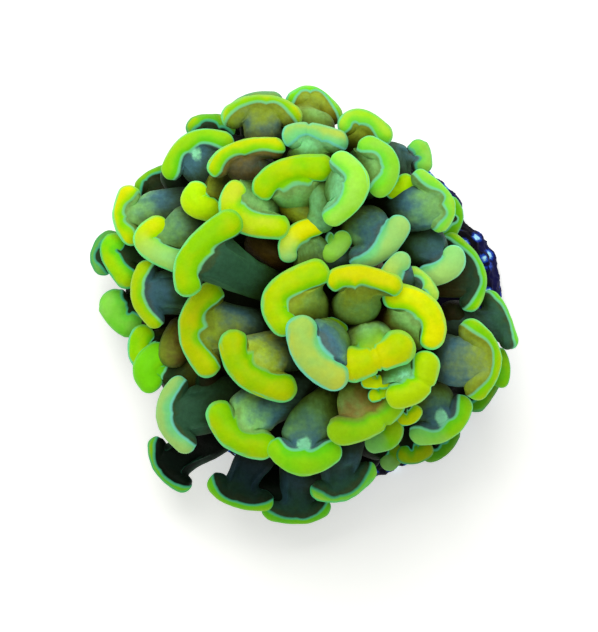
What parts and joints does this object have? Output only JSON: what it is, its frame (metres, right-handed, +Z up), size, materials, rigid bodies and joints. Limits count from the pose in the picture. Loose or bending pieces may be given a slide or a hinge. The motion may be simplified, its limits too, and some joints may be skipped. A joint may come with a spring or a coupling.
{
  "type": "hammer coral",
  "caption": "Branching stony coral with fleshy polyps and curved hammer-headed tentacles, standing on a loose flat rubble disc.",
  "frame": {"origin": "centre of the rubble disc's flat underside", "axes": "+Z up, away from the disc; +Y from the mouth of one polyp to the mouth of the other; +X to the side where the disc shows"},
  "size_m": [0.0827, 0.0847, 0.0665],
  "materials": {
    "gold_flesh": "moist satin, golden lime heads on olive and slate stalks",
    "lime_flesh": "moist satin, lime green heads on teal stalks",
    "mint_flesh": "moist satin, pale mint heads on grey-green stalks",
    "shade_flesh": "moist satin, deep green heads with teal edges",
    "oral_disc_flesh": "moist satin, brown olive with radial folds",
    "coral_stone": "matt, ribbed and porous limestone",
    "crusted_rubble": "dark indigo crust with pale blue specks"
  },
  "bodies": {
    "root": {"base_disc": "crusted_rubble", "skeleton_trunk": "coral_stone", "branch_a": "coral_stone", "branch_b": "coral_stone", "polyp_a": "oral_disc_flesh", "polyp_b": "oral_disc_flesh", "tentacle_01": "gold_flesh", "tentacle_02": "mint_flesh", "tentacle_03": "shade_flesh", "tentacle_04": "lime_flesh", "tentacle_05": "gold_flesh", "tentacle_06": "shade_flesh", "tentacle_07": "gold_flesh", "tentacle_08": "shade_flesh", "tentacle_09": "shade_flesh", "tentacle_10": "gold_flesh", "tentacle_11": "gold_flesh", "tentacle_12": "gold_flesh", "tentacle_13": "gold_flesh", "tentacle_14": "lime_flesh", "tentacle_15": "mint_flesh", "tentacle_16": "lime_flesh", "tentacle_17": "lime_flesh", "tentacle_18": "gold_flesh", "tentacle_19": "lime_flesh", "tentacle_20": "shade_flesh", "tentacle_22": "lime_flesh", "tentacle_23": "lime_flesh", "tentacle_24": "mint_flesh", "tentacle_25": "gold_flesh", "tentacle_27": "gold_flesh", "tentacle_28": "gold_flesh", "tentacle_30": "lime_flesh", "tentacle_31": "gold_flesh", "tentacle_32": "mint_flesh", "tentacle_33": "gold_flesh", "tentacle_34": "gold_flesh", "tentacle_35": "lime_flesh", "tentacle_36": "lime_flesh", "tentacle_37": "gold_flesh", "tentacle_38": "gold_flesh", "tentacle_39": "gold_flesh", "tentacle_40": "gold_flesh", "tentacle_41": "shade_flesh", "tentacle_42": "lime_flesh", "tentacle_44": "mint_flesh", "tentacle_45": "shade_flesh", "tentacle_46": "shade_flesh", "tentacle_47": "shade_flesh", "tentacle_48": "shade_flesh", "tentacle_49": "lime_flesh", "tentacle_50": "shade_flesh", "tentacle_52": "lime_flesh", "tentacle_53": "shade_flesh", "tentacle_54": "gold_flesh", "tentacle_55": "lime_flesh", "tentacle_57": "shade_flesh", "tentacle_58": "mint_flesh", "tentacle_59": "lime_flesh"}
  },
  "joints": []
}
